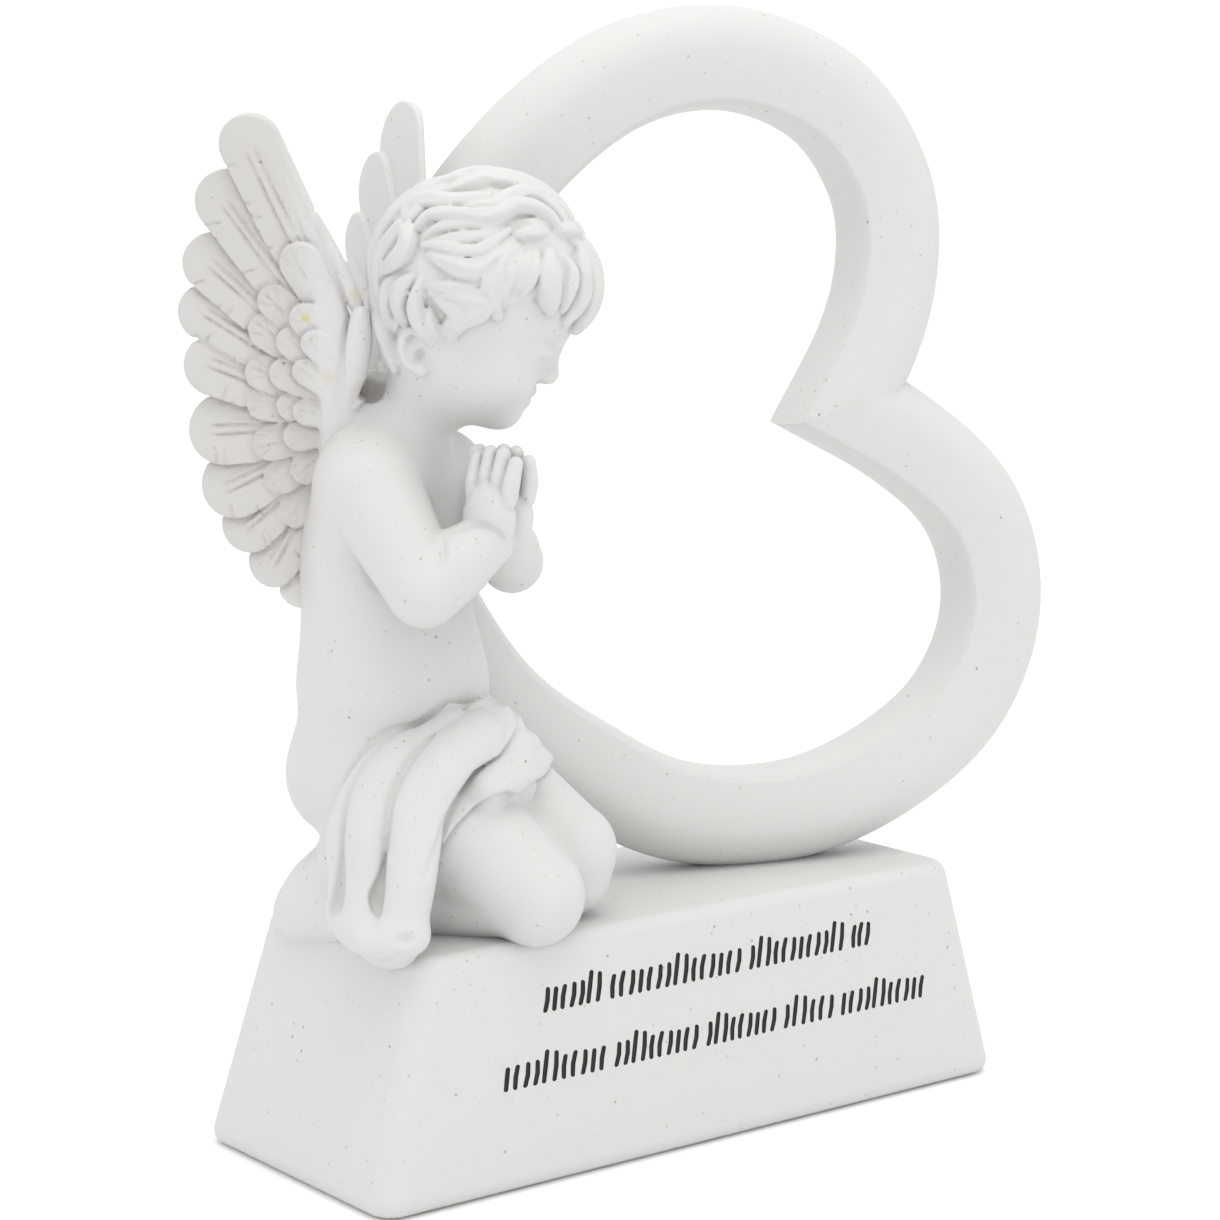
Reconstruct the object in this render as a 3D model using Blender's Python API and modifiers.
"""Angel memorial plaque: a kneeling cherub in prayer beside an open heart, on a tapered base.

The ornament is one casting of white stone resin, so it is one closed solid. Its base is a bevelled
block, its heart a section swept along two lobes that meet in mitres, and its figure is built up
from balls and tapered limbs that are fused by a voxel remesh, as a modeller builds up clay.
Sizes below are in millimetres; X runs along the base, -Y is the front and Z is up. The origin is
the centre of the base's underside.
"""
import math

import bmesh
import bpy
from mathutils import Matrix, Vector

MM = 0.001
NAME = "memorial_plaque"

# Base: a block that tapers to its top
BASE_LENGTH = 141.6
BASE_DEPTH = 58.8
BASE_HEIGHT = 42.0
END_TAPER = 10.2
FRONT_TAPER = 3.1
BACK_TAPER = 6.2
BASE_EDGE = 2.6

# Heart: its plane is turned about a vertical line, and its hole's front edge is drawn in that plane
HEART_PIVOT = Vector((25.0, -0.3, 0.0))
HEART_TURN = math.radians(-15.0)
HEART_CUSP = (38.0, 124.3)
HEART_POINT = (-34.0, 117.0)
UPPER_LOBE = [(47.7, 141.5), (51.0, 154.4), (49.3, 166.0), (40.6, 176.9), (24.4, 182.2), (6.7, 178.7),
              (-10.4, 165.8), (-24.0, 147.0)]
LOWER_LOBE = [(-26.5, 98.0), (-14.6, 80.7), (1.9, 68.5), (18.6, 60.1), (38.5, 58.8), (55.2, 63.9),
              (68.7, 73.6), (74.5, 87.5), (70.9, 102.1), (57.6, 113.7)]
BAND_WIDTH = 17.3
BAND_HALF_DEPTH = 7.9
HOLE_HALF_DEPTH = 6.7
WALL_BULGE = 1.4
LOBE_STEPS = 4
RIM_STEPS = 6
MITRE_OVERLAP = 0.05
MITRE_RUN_ON = 26.0
MITRE_REACH = 38.0

# Figure: turns are measured from +X towards the front
TORSO_TURN = math.radians(-73.0)
LEGS_TURN = math.radians(-60.0)
HEAD_TURN = math.radians(-40.0)
HEAD_BOW = math.radians(22.0)
PELVIS = Vector((-43.5, 6.0, 68.5))
COLLAR = Vector((-48.0, 0.5, 121.0))
TRUNK = [(PELVIS, (14.5, 17.3, 14.5)), ((-44.3, 5.2, 75.5), (15.4, 17.2, 15.0)),
         ((-45.0, 4.5, 82.5), (16.2, 17.0, 16.0)), ((-46.0, 4.3, 91.3), (14.8, 16.4, 15.5)),
         ((-47.0, 4.0, 100.0), (13.3, 15.8, 15.0)), ((-48.0, 2.0, 112.0), (11.3, 14.8, 13.0)),
         (COLLAR, (8.5, 14.5, 8.0))]
SEAT = ((-6.0, 8.5, -1.5), (8.7, 9.2, 10.3))
NECK = [(COLLAR, 8.5), ((-46.0, -2.5, 127.0), 7.4), ((-43.5, -8.0, 136.0), 6.8)]
HEAD = Vector((-39.0, -11.5, 151.0))
RIGHT_ARM = [((-56.5, -6.5, 118.0), 8.4), ((-54.0, -18.5, 102.0), 6.3), ((-49.0, -20.5, 106.0), 6.0),
             ((-44.5, -22.5, 109.5), 4.7)]
LEFT_ARM = [((-34.5, 5.0, 118.0), 7.8), ((-30.5, -10.5, 104.0), 5.3), ((-37.5, -19.0, 110.0), 4.3)]
# Joined hands, as (middle of the pair, half their spread, radii of one)
HANDS = [(Vector((-42.7, -21.9, 115.5)), 2.3, (5.0, 2.6, 7.5)),
         (Vector((-42.3, -22.4, 120.8)), 1.9, (4.2, 2.0, 6.0))]
RIGHT_KNEE = Vector((-36.0, -24.0, 49.0))
LEFT_KNEE = Vector((-22.5, -15.5, 53.5))
HIP = (3.0, 8.0, -2.0)
HIP_RADIUS = 13.0
THIGH_RADIUS = 11.6
KNEE_RADIUS = 8.5
SHIN_LENGTH = 34.0
SHIN_RADIUS = 7.5
CALF_RADIUS = 8.0
ANKLE_RADIUS = 5.0

# Cloth: long folds from the lap over the right hip to the front left corner, as (point, radius)
FOLDS = [
    [((-46, -8.5, 77.5), 2.4), ((-54.5, -8.5, 74.5), 2.8), ((-60, -8, 68), 3.2), ((-63, -8, 61), 3.6),
     ((-65, -9, 55), 4.0), ((-66, -9.5, 48), 4.4)],
    [((-45.5, -12.5, 76.5), 3.2), ((-54.5, -12, 72), 4.5), ((-59, -12.5, 66.5), 5.0),
     ((-62, -13.5, 60.5), 5.0), ((-64, -14.5, 54), 5.2), ((-65, -15.5, 47.5), 5.2)],
    [((-41.5, -16, 75), 4.0), ((-50, -17, 71.5), 4.8), ((-55, -18, 66.5), 5.0), ((-57.5, -19.5, 61), 5.0),
     ((-60, -21.5, 55), 5.2), ((-61.5, -22.5, 47), 5.0)],
    [((-35.5, -10.5, 78.5), 3.5), ((-34.5, -16.5, 76.5), 5.0), ((-36, -20, 71.5), 5.0),
     ((-43.5, -22, 68.5), 4.0), ((-49.5, -22.5, 65), 2.8)],
    [((-30, -9.5, 74.5), 4.0), ((-29.5, -16.5, 71), 4.0), ((-35.5, -20.5, 69), 3.5)],
]
SPREAD_CLOTH = [[((-49, 8, 56), 9.0), ((-53.5, 13, 46), 6.5), ((-57, 18, 41), 4.0)],
                [((-55, 0, 56), 8.5), ((-58, 3, 46), 7.5), ((-59, 8, 41), 5.0)],
                [((-56, -7, 56), 7.0), ((-58, -8, 46), 7.0)]]
CLOTH_UNDER_FOLDS = [((-59.0, -11.5, 53.0), 4.5), ((-34.5, -16.0, 66.5), 5.0), ((-33.5, -6.5, 77.0), 4.0)]

# Wings: feathers fan from a line of roots to a line of tips, as (behind, beside, height) of the spine
SPINE = Vector((-48.6, 1.1, 0.0))
WING_ROOTS = [(0.0, 8.5, 140.0), (4.5, 7.5, 129.0), (8.5, 5.5, 117.5)]
WING_TIPS = [(12.5, 21.5, 178.5), (24.0, 20.8, 158.0), (26.0, 20.3, 138.0), (24.5, 17.5, 115.0),
             (12.0, 9.0, 96.5)]
WING_ARM = [(3.5, 5.5, 116.0), (3.5, 7.8, 127.0), (2.5, 9.0, 136.0), (4.5, 12.5, 148.0)]
FEATHERS = 10
FEATHER_WIDTH = 4.6
FEATHER_THICKNESS = 1.5
WING_ARM_RADII = (5.6, 2.6)
COVERTS = [(0.50, 4.3), (0.33, 4.2), (0.14, 4.0)]
LEFT_WING_LIFT = 3.0
ROOT_LIFT = 0.3

# Head: a plain face on ordinary proportions, as (forwards, to the side, up) from the skull's middle and
# (radii), then hair as rings of loose curls from the nape to the crown, as (curls, height, reach, size)
FACE = [((0.0, 0.0, 0.0), (18.0, 16.0, 16.8)), ((3.5, 0.0, -12.5), (12.5, 12.0, 11.5)),
        ((10.5, 0.0, -19.0), (4.0, 4.5, 3.5)), ((15.0, 0.0, -10.5), (2.2, 1.9, 2.0))]
CHEEK_AND_EAR = [((8.0, 5.5, -14.0), (6.0, 5.5, 5.5)), ((-4.0, 13.3, -7.5), (2.6, 1.8, 3.4))]
HAIR = [(6, -9.5, 12.2, 4.6), (11, -2.0, 14.8, 4.6), (11, 5.5, 13.3, 5.0), (9, 11.5, 9.0, 5.4),
        (5, 15.0, 4.0, 4.6)]
HAIR_LONGER_THAN_WIDE = 1.12
HAIR_TWIST = 9.0
NAPE_SPREAD = (100.0, 260.0)
BROW_LIFT = 2.5

BODY_VOXEL = 1.2
BODY_KEPT = 0.105
WING_VOXEL = 0.95
WING_KEPT = 0.085


def clear_scene():
    for thing in list(bpy.data.objects):
        bpy.data.objects.remove(thing, do_unlink=True)


def make_collection(name):
    group = bpy.data.collections.new(name)
    bpy.context.scene.collection.children.link(group)
    return group


def stone_resin():
    """Off-white polyester resin filled with stone powder, cast with a dull skin."""
    material = bpy.data.materials.new("white stone resin")
    material.use_nodes = True
    shader = material.node_tree.nodes["Principled BSDF"]
    shader.inputs["Base Color"].default_value = (0.80, 0.80, 0.78, 1.0)
    shader.inputs["Roughness"].default_value = 0.65
    shader.inputs["Metallic"].default_value = 0.0
    return material


def new_object(name, bm, group, material):
    """Turn a bmesh drawn in millimetres into an object in metres."""
    bmesh.ops.scale(bm, vec=Vector((MM, MM, MM)), verts=bm.verts)
    bmesh.ops.recalc_face_normals(bm, faces=bm.faces)
    mesh = bpy.data.meshes.new(name)
    bm.to_mesh(mesh)
    bm.free()
    mesh.materials.append(material)
    thing = bpy.data.objects.new(name, mesh)
    group.objects.link(thing)
    return thing


def as_cutter(thing):
    thing.hide_render = True
    thing.display_type = "WIRE"
    return thing


def through(points, steps):
    """Smooth curve through the points, with this many steps in each span."""
    points = [Vector(p) for p in points]
    ends = [2 * points[0] - points[1]] + points + [2 * points[-1] - points[-2]]
    curve = []
    for a, b, c, d in zip(ends, ends[1:], ends[2:], ends[3:]):
        for i in range(steps):
            t = i / steps
            curve.append(0.5 * (2 * b + (c - a) * t + (2 * a - 5 * b + 4 * c - d) * t ** 2
                                + (3 * b - a - 3 * c + d) * t ** 3))
    return curve + [points[-1]]


# Base

def make_base(group, material):
    bm = bmesh.new()
    bmesh.ops.create_cube(bm, size=1.0)
    for vert in bm.verts:
        x, y, z = (math.copysign(1.0, c) for c in vert.co)
        top = z > 0
        end = BASE_LENGTH / 2 - (END_TAPER if top else 0.0)
        taper = FRONT_TAPER if y < 0 else BACK_TAPER
        side = BASE_DEPTH / 2 - (taper if top else 0.0)
        vert.co = (x * end, y * side, BASE_HEIGHT if top else 0.0)
    bmesh.ops.bevel(bm, geom=bm.edges[:], offset=BASE_EDGE, segments=3, profile=0.5, affect="EDGES")
    return new_object(NAME, bm, group, material)


# Heart

def heart_section():
    """Outline of the band, as (outward from the hole's front edge, depth)."""
    corner = BAND_WIDTH - BAND_HALF_DEPTH
    front = [(0.0, HOLE_HALF_DEPTH), (corner * 0.45, BAND_HALF_DEPTH - 0.3)]
    rim = []
    for i in range(RIM_STEPS + 1):
        angle = math.pi / 2 - math.pi * i / RIM_STEPS
        rim.append((corner + BAND_HALF_DEPTH * math.cos(angle), BAND_HALF_DEPTH * math.sin(angle)))
    back = [(out, -depth) for out, depth in reversed(front)]
    wall = [(-WALL_BULGE * 0.75, -HOLE_HALF_DEPTH / 2), (-WALL_BULGE, 0.0),
            (-WALL_BULGE * 0.75, HOLE_HALF_DEPTH / 2)]
    return front + rim + back + wall


def heart_place():
    """Matrix from the heart's own plane (X across, Y depth, Z up) to the plaque."""
    return Matrix.Translation(HEART_PIVOT) @ Matrix.Rotation(HEART_TURN, 4, "Z") @ Matrix.Translation(
        (-HEART_PIVOT.x, 0.0, 0.0))


def unit(vector):
    return vector / vector.length


def sweep_lobe(path, side):
    """The band along one half of the heart, run on past both ends so that the mitres can cut it."""
    first, last = unit(path[0] - path[1]), unit(path[-1] - path[-2])
    path = [path[0] + first * MITRE_RUN_ON] + path + [path[-1] + last * MITRE_RUN_ON]
    section = heart_section()
    bm = bmesh.new()
    rings = []
    for i, point in enumerate(path):
        along = unit(path[min(i + 1, len(path) - 1)] - path[max(i - 1, 0)])
        outward = Vector((along.y, -along.x)) * side
        rings.append([bm.verts.new((point.x + outward.x * out, depth, point.y + outward.y * out))
                      for out, depth in section])
    for ring, following in zip(rings, rings[1:]):
        for j in range(len(section)):
            k = (j + 1) % len(section)
            bm.faces.new((ring[j], ring[k], following[k], following[j]))
    bm.faces.new(rings[0])
    bm.faces.new(rings[-1])
    bmesh.ops.recalc_face_normals(bm, faces=bm.faces)
    return bm


def cut_mitre(bm, corner, towards, keep_side):
    """Cut the band at the plane through a corner and a direction, a hair past the plane."""
    normal = Vector((-towards.y, 0.0, towards.x)) * keep_side
    corner = Vector((corner[0], 0.0, corner[1]))
    near = {vert for vert in bm.verts if (vert.co - corner).length < MITRE_REACH}
    end = [part for part in bm.edges[:] + bm.faces[:] if near.issuperset(part.verts)] + list(near)
    cut = bmesh.ops.bisect_plane(bm, geom=end, plane_co=corner + normal * MITRE_OVERLAP, plane_no=normal,
                                 clear_outer=True)
    rim = [part for part in cut["geom_cut"] if isinstance(part, bmesh.types.BMEdge)]
    bmesh.ops.contextual_create(bm, geom=rim)


def make_heart(group, material):
    """Two lobes that meet at the cusp and at the point, where each mitre halves the bend."""
    upper = through([HEART_CUSP] + UPPER_LOBE + [HEART_POINT], LOBE_STEPS)
    lower = through([HEART_CUSP] + LOWER_LOBE[::-1] + [HEART_POINT], LOBE_STEPS)
    cusp = -unit(unit(upper[1] - upper[0]) + unit(lower[1] - lower[0]))
    point = -unit(unit(upper[-2] - upper[-1]) + unit(lower[-2] - lower[-1]))
    lobes = []
    for name, path, side in (("heart_upper_lobe", upper, 1), ("heart_lower_lobe", lower, -1)):
        bm = sweep_lobe(path, side)
        cut_mitre(bm, HEART_CUSP, cusp, side)
        cut_mitre(bm, HEART_POINT, point, side)
        bmesh.ops.transform(bm, matrix=heart_place(), verts=bm.verts)
        lobes.append(as_cutter(new_object(name, bm, group, material)))
    return lobes


# Figure

def facing(turn, bow=0.0):
    """Rotation whose X looks along the turn and dips by the bow, with Y to the figure's left."""
    return Matrix.Rotation(turn, 3, "Z") @ Matrix.Rotation(bow, 3, "Y")


def add_shape(bm, shape):
    """Add a shape drawn in a bmesh of its own, which is far quicker than drawing it in the full one."""
    mesh = bpy.data.meshes.new("shape")
    shape.to_mesh(mesh)
    shape.free()
    bm.from_mesh(mesh)
    bpy.data.meshes.remove(mesh)


def add_ball(bm, centre, radii, turn=None, segments=24):
    turn = turn or Matrix.Identity(3)
    place = Matrix.Translation(Vector(centre)) @ turn.to_4x4() @ Matrix.Diagonal((*radii, 1.0))
    ball = bmesh.new()
    bmesh.ops.create_uvsphere(ball, u_segments=segments, v_segments=segments // 2, radius=1.0, matrix=place)
    add_shape(bm, ball)


def add_limb(bm, joints):
    """Balls at the joints and cones between them, each joint given as (point, radius)."""
    for point, radius in joints:
        add_ball(bm, point, (radius, radius, radius), segments=16)
    for (start, thick), (end, thin) in zip(joints, joints[1:]):
        start, end = Vector(start), Vector(end)
        span = end - start
        turn = span.to_track_quat("Z", "Y").to_matrix().to_4x4()
        place = Matrix.Translation((start + end) / 2) @ turn
        cone = bmesh.new()
        bmesh.ops.create_cone(cone, cap_ends=True, segments=20, radius1=thick, radius2=thin,
                              depth=span.length, matrix=place)
        add_shape(bm, cone)


def add_torso(bm):
    turn = facing(TORSO_TURN)
    for centre, radii in TRUNK:
        add_ball(bm, centre, radii, turn)
    add_limb(bm, NECK)
    for side in (-1, 1):
        (behind, beside, below), radii = SEAT
        add_ball(bm, PELVIS + turn @ Vector((behind, beside * side, below)), radii, turn)


def add_arms(bm):
    add_limb(bm, RIGHT_ARM)
    add_limb(bm, LEFT_ARM)
    turn = facing(TORSO_TURN)
    for middle, spread, radii in HANDS:
        for side in (-1, 1):
            add_ball(bm, middle + turn @ Vector((0.0, spread * side, 0.0)), radii, turn)


def add_legs(bm):
    turn = facing(LEGS_TURN)
    for side, knee in ((-1, RIGHT_KNEE), (1, LEFT_KNEE)):
        hip = PELVIS + turn @ Vector((HIP[0], HIP[1] * side, HIP[2]))
        add_limb(bm, [(hip, HIP_RADIUS), ((hip + knee) / 2, THIGH_RADIUS), (knee, KNEE_RADIUS)])
        shin = Vector((knee.x, knee.y, BASE_HEIGHT + SHIN_RADIUS))
        heel = shin + turn @ Vector((-SHIN_LENGTH, 0.0, ANKLE_RADIUS - SHIN_RADIUS))
        add_limb(bm, [(shin, SHIN_RADIUS), ((shin + heel) / 2, CALF_RADIUS), (heel, ANKLE_RADIUS)])


def add_head(bm):
    turn = facing(HEAD_TURN, HEAD_BOW)
    mirrored = [((x, y * side, z), radii) for side in (-1, 1) for (x, y, z), radii in CHEEK_AND_EAR]
    for place, radii in FACE + mirrored:
        add_ball(bm, HEAD + turn @ Vector(place), radii, turn)
    for count, height, reach, size in HAIR:
        if height < CHEEK_AND_EAR[1][0][2]:
            first, last = NAPE_SPREAD
            angles = [first + (last - first) * i / (count - 1) for i in range(count)]
        else:
            angles = [360.0 * i / count + HAIR_TWIST * height for i in range(count)]
        for angle in map(math.radians, angles):
            brow = max(0.0, math.cos(angle)) * BROW_LIFT
            curl = (HAIR_LONGER_THAN_WIDE * reach * math.cos(angle), reach * math.sin(angle), height + brow)
            add_ball(bm, HEAD + turn @ Vector(curl), (size, size, size * 0.9), turn, segments=16)


def add_cloth(bm):
    for fold in FOLDS:
        steps = 3
        route = through([point for point, radius in fold], steps)
        sizes = through([(radius, 0.0) for point, radius in fold], steps)
        add_limb(bm, [(point, size.x) for point, size in zip(route, sizes)])
    for fold in SPREAD_CLOTH:
        add_limb(bm, fold)
    for centre, radius in CLOTH_UNDER_FOLDS:
        add_ball(bm, centre, (radius, radius, radius))


def wing_point(place, side, lift=0.0):
    """A point of the wing, given behind, beside and above the spine."""
    behind, beside, height = place
    return SPINE + facing(TORSO_TURN) @ Vector((-behind, beside * side, height + lift))


def spread(points, count):
    """This many points spaced evenly along a smooth curve through the given ones."""
    curve = through(points, 12)
    return [curve[round(i * (len(curve) - 1) / (count - 1))] for i in range(count)]


def add_wing(bm, side, lift):
    """An arm that stands on the shoulder blade, then feathers under rows of shorter ones."""
    arm = through(WING_ARM, 3)
    thick, thin = WING_ARM_RADII
    add_limb(bm, [(wing_point(place, side, lift * ROOT_LIFT), thick + (thin - thick) * i / (len(arm) - 1))
                  for i, place in enumerate(arm)])
    roots = [wing_point(place, side, lift * ROOT_LIFT) for place in spread(WING_ROOTS, FEATHERS)]
    tips = [wing_point(place, side, lift) for place in spread(WING_TIPS, FEATHERS)]
    for i, (root, tip) in enumerate(zip(roots, tips)):
        along = unit(tip - root)
        across = tips[min(i + 1, FEATHERS - 1)] - tips[max(i - 1, 0)]
        face = unit(along.cross(across))
        turn = Matrix((along, face.cross(along), face)).transposed()
        vane = (tip - root).length * 0.45
        add_ball(bm, tip - along * vane, (vane, FEATHER_WIDTH, FEATHER_THICKNESS), turn, segments=20)
        end = FEATHER_WIDTH * 0.82
        add_ball(bm, tip - along * end, (end, end, FEATHER_THICKNESS * 0.9), turn, segments=16)
        for reach, size in COVERTS:
            thickness = FEATHER_THICKNESS * (2.2 - 1.6 * reach)
            add_ball(bm, root.lerp(tip, reach), (size * 1.25, size, thickness), turn, segments=16)


def make_clay(name, bm, voxel, softening, kept, group, material):
    """Fuse overlapping shapes into one skin, soften it and thin out its triangles."""
    clay = as_cutter(new_object(name, bm, group, material))
    fuse = clay.modifiers.new("fuse", "REMESH")
    fuse.mode = "VOXEL"
    fuse.voxel_size = voxel * MM
    soften = clay.modifiers.new("soften", "SMOOTH")
    soften.factor = 0.5
    soften.iterations = softening
    thin = clay.modifiers.new("thin", "DECIMATE")
    thin.ratio = kept
    return clay


def make_body(group, material):
    bm = bmesh.new()
    add_torso(bm)
    add_arms(bm)
    add_legs(bm)
    add_head(bm)
    add_cloth(bm)
    return make_clay("body_and_cloth", bm, BODY_VOXEL, 4, BODY_KEPT, group, material)


def make_wings(group, material):
    wings = []
    for name, side, lift in (("right_wing", -1, 0.0), ("left_wing", 1, LEFT_WING_LIFT)):
        bm = bmesh.new()
        add_wing(bm, side, lift)
        wings.append(make_clay(name, bm, WING_VOXEL, 1, WING_KEPT, group, material))
    return wings


def join_to(body, piece, solver):
    union = body.modifiers.new("cast with " + piece.name, "BOOLEAN")
    union.operation = "UNION"
    union.solver = solver
    union.object = piece


def main():
    clear_scene()
    material = stone_resin()
    parts = make_collection("angel memorial plaque")
    joined = make_collection("shapes joined to the casting")
    plaque = make_base(parts, material)
    for lobe in make_heart(joined, material):
        join_to(plaque, lobe, "EXACT")
    # The exact solver loses the rest of the casting where the body joins it, so these use the other one
    for piece in [make_body(joined, material)] + make_wings(joined, material):
        join_to(plaque, piece, "MANIFOLD")


main()
